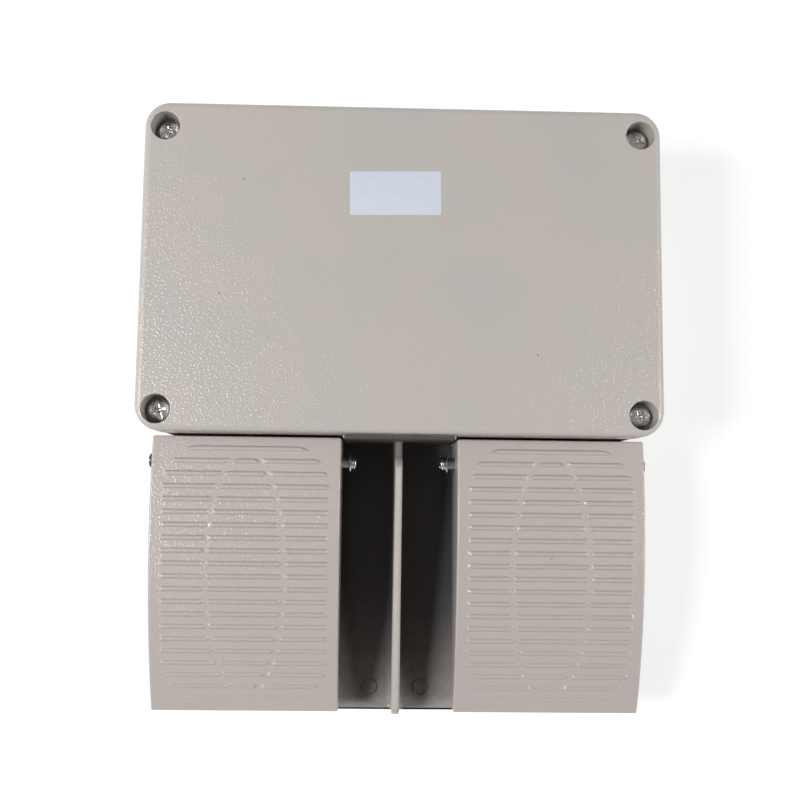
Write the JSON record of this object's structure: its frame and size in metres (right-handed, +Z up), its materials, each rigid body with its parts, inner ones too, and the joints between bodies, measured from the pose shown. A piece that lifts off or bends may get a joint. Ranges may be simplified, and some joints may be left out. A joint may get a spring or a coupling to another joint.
{
  "type": "industrial foot switch",
  "caption": "Cast-metal foot switch with twin ribbed pedals side by side in front of a closed switch box, on a shared base plate.",
  "frame": {"origin": "on the floor plane under the middle of the outline, so that the rubber feet stand on Z = 0", "axes": "+X to the right pedal seen from the toe end, +Y from the toe end to the switch box, +Z up"},
  "size_m": [0.2438, 0.289, 0.0721],
  "materials": {
    "casting_paint": "hammered powder coat, semi-gloss warm light grey",
    "zinc_steel": "bright zinc plating",
    "spring_steel": "drawn spring wire",
    "plunger_steel": "ground",
    "brass": "turned brass",
    "black_rubber": "moulded matt rubber",
    "black_plastic": "moulded phenolic",
    "red_plastic": "moulded",
    "pale_plastic": "moulded",
    "pale_label": "satin film, bare"
  },
  "bodies": {
    "housing": {"base_casting": "casting_paint", "lid": "casting_paint", "lid_gasket": "black_rubber", "lid_screws": "zinc_steel", "lid_spring_washers": "zinc_steel", "label": "pale_label", "left_pivot_shaft": "zinc_steel", "right_pivot_shaft": "zinc_steel", "left_pivot_washers": "zinc_steel", "right_pivot_washers": "zinc_steel", "left_pivot_spring_washers": "zinc_steel", "right_pivot_spring_washers": "zinc_steel", "left_pivot_screws": "zinc_steel", "right_pivot_screws": "zinc_steel", "left_return_spring": "spring_steel", "right_return_spring": "spring_steel", "left_bump_stop": "black_rubber", "right_bump_stop": "black_rubber", "left_rest_stop": "black_rubber", "right_rest_stop": "black_rubber", "left_guide_bush": "brass", "right_guide_bush": "brass", "left_wiper_seal": "black_rubber", "right_wiper_seal": "black_rubber", "left_bush_nut": "brass", "right_bush_nut": "brass", "left_switch_body": "black_plastic", "right_switch_body": "black_plastic", "left_switch_plate": "zinc_steel", "right_switch_plate": "zinc_steel", "left_switch_tabs": "brass", "right_switch_tabs": "brass", "left_tab_screws": "zinc_steel", "right_tab_screws": "zinc_steel", "switch_screws": "zinc_steel", "terminal_strip": "pale_plastic", "terminal_screws": "brass", "strip_fixing_screws": "zinc_steel", "earth_screw": "brass", "rubber_feet": "black_rubber", "foot_screws": "zinc_steel"},
    "left_pedal_body": {"left_pedal": "casting_paint"},
    "left_plunger_body": {"left_plunger": "plunger_steel", "left_plunger_clip": "spring_steel"},
    "left_button_body": {"left_switch_button": "red_plastic"},
    "right_pedal_body": {"right_pedal": "casting_paint"},
    "right_plunger_body": {"right_plunger": "plunger_steel", "right_plunger_clip": "spring_steel"},
    "right_button_body": {"right_switch_button": "red_plastic"}
  },
  "joints": [
    {"name": "left_pedal_hinge", "type": "hinge", "parent": "housing", "child": "left_pedal_body", "pos_m": [-0.07235, -0.0221, 0.033], "axis": [1, 0, 0], "range_deg": [0, 7], "stiffness_Nm_per_rad": 8, "springref_deg": -8.59, "deforming": ["left_return_spring"]},
    {"name": "left_plunger_slide", "type": "slide", "parent": "housing", "child": "left_plunger_body", "axis": [0, 1, 0], "range_m": [0, 0.0019]},
    {"name": "left_button_slide", "type": "slide", "parent": "housing", "child": "left_button_body", "axis": [0, 1, 0], "range_m": [0, 0.0019]},
    {"name": "right_pedal_hinge", "type": "hinge", "parent": "housing", "child": "right_pedal_body", "pos_m": [0.07235, -0.0221, 0.033], "axis": [1, 0, 0], "range_deg": [0, 7], "stiffness_Nm_per_rad": 8, "springref_deg": -8.59, "deforming": ["right_return_spring"]},
    {"name": "right_plunger_slide", "type": "slide", "parent": "housing", "child": "right_plunger_body", "axis": [0, 1, 0], "range_m": [0, 0.0019]},
    {"name": "right_button_slide", "type": "slide", "parent": "housing", "child": "right_button_body", "axis": [0, 1, 0], "range_m": [0, 0.0019]}
  ],
  "couplings": [
    {"joint": "left_plunger_slide", "follows": "left_pedal_hinge", "m_per_rad": 0.0151},
    {"joint": "left_button_slide", "follows": "left_pedal_hinge", "m_per_rad": 0.0151},
    {"joint": "right_plunger_slide", "follows": "right_pedal_hinge", "m_per_rad": 0.0151},
    {"joint": "right_button_slide", "follows": "right_pedal_hinge", "m_per_rad": 0.0151}
  ]
}
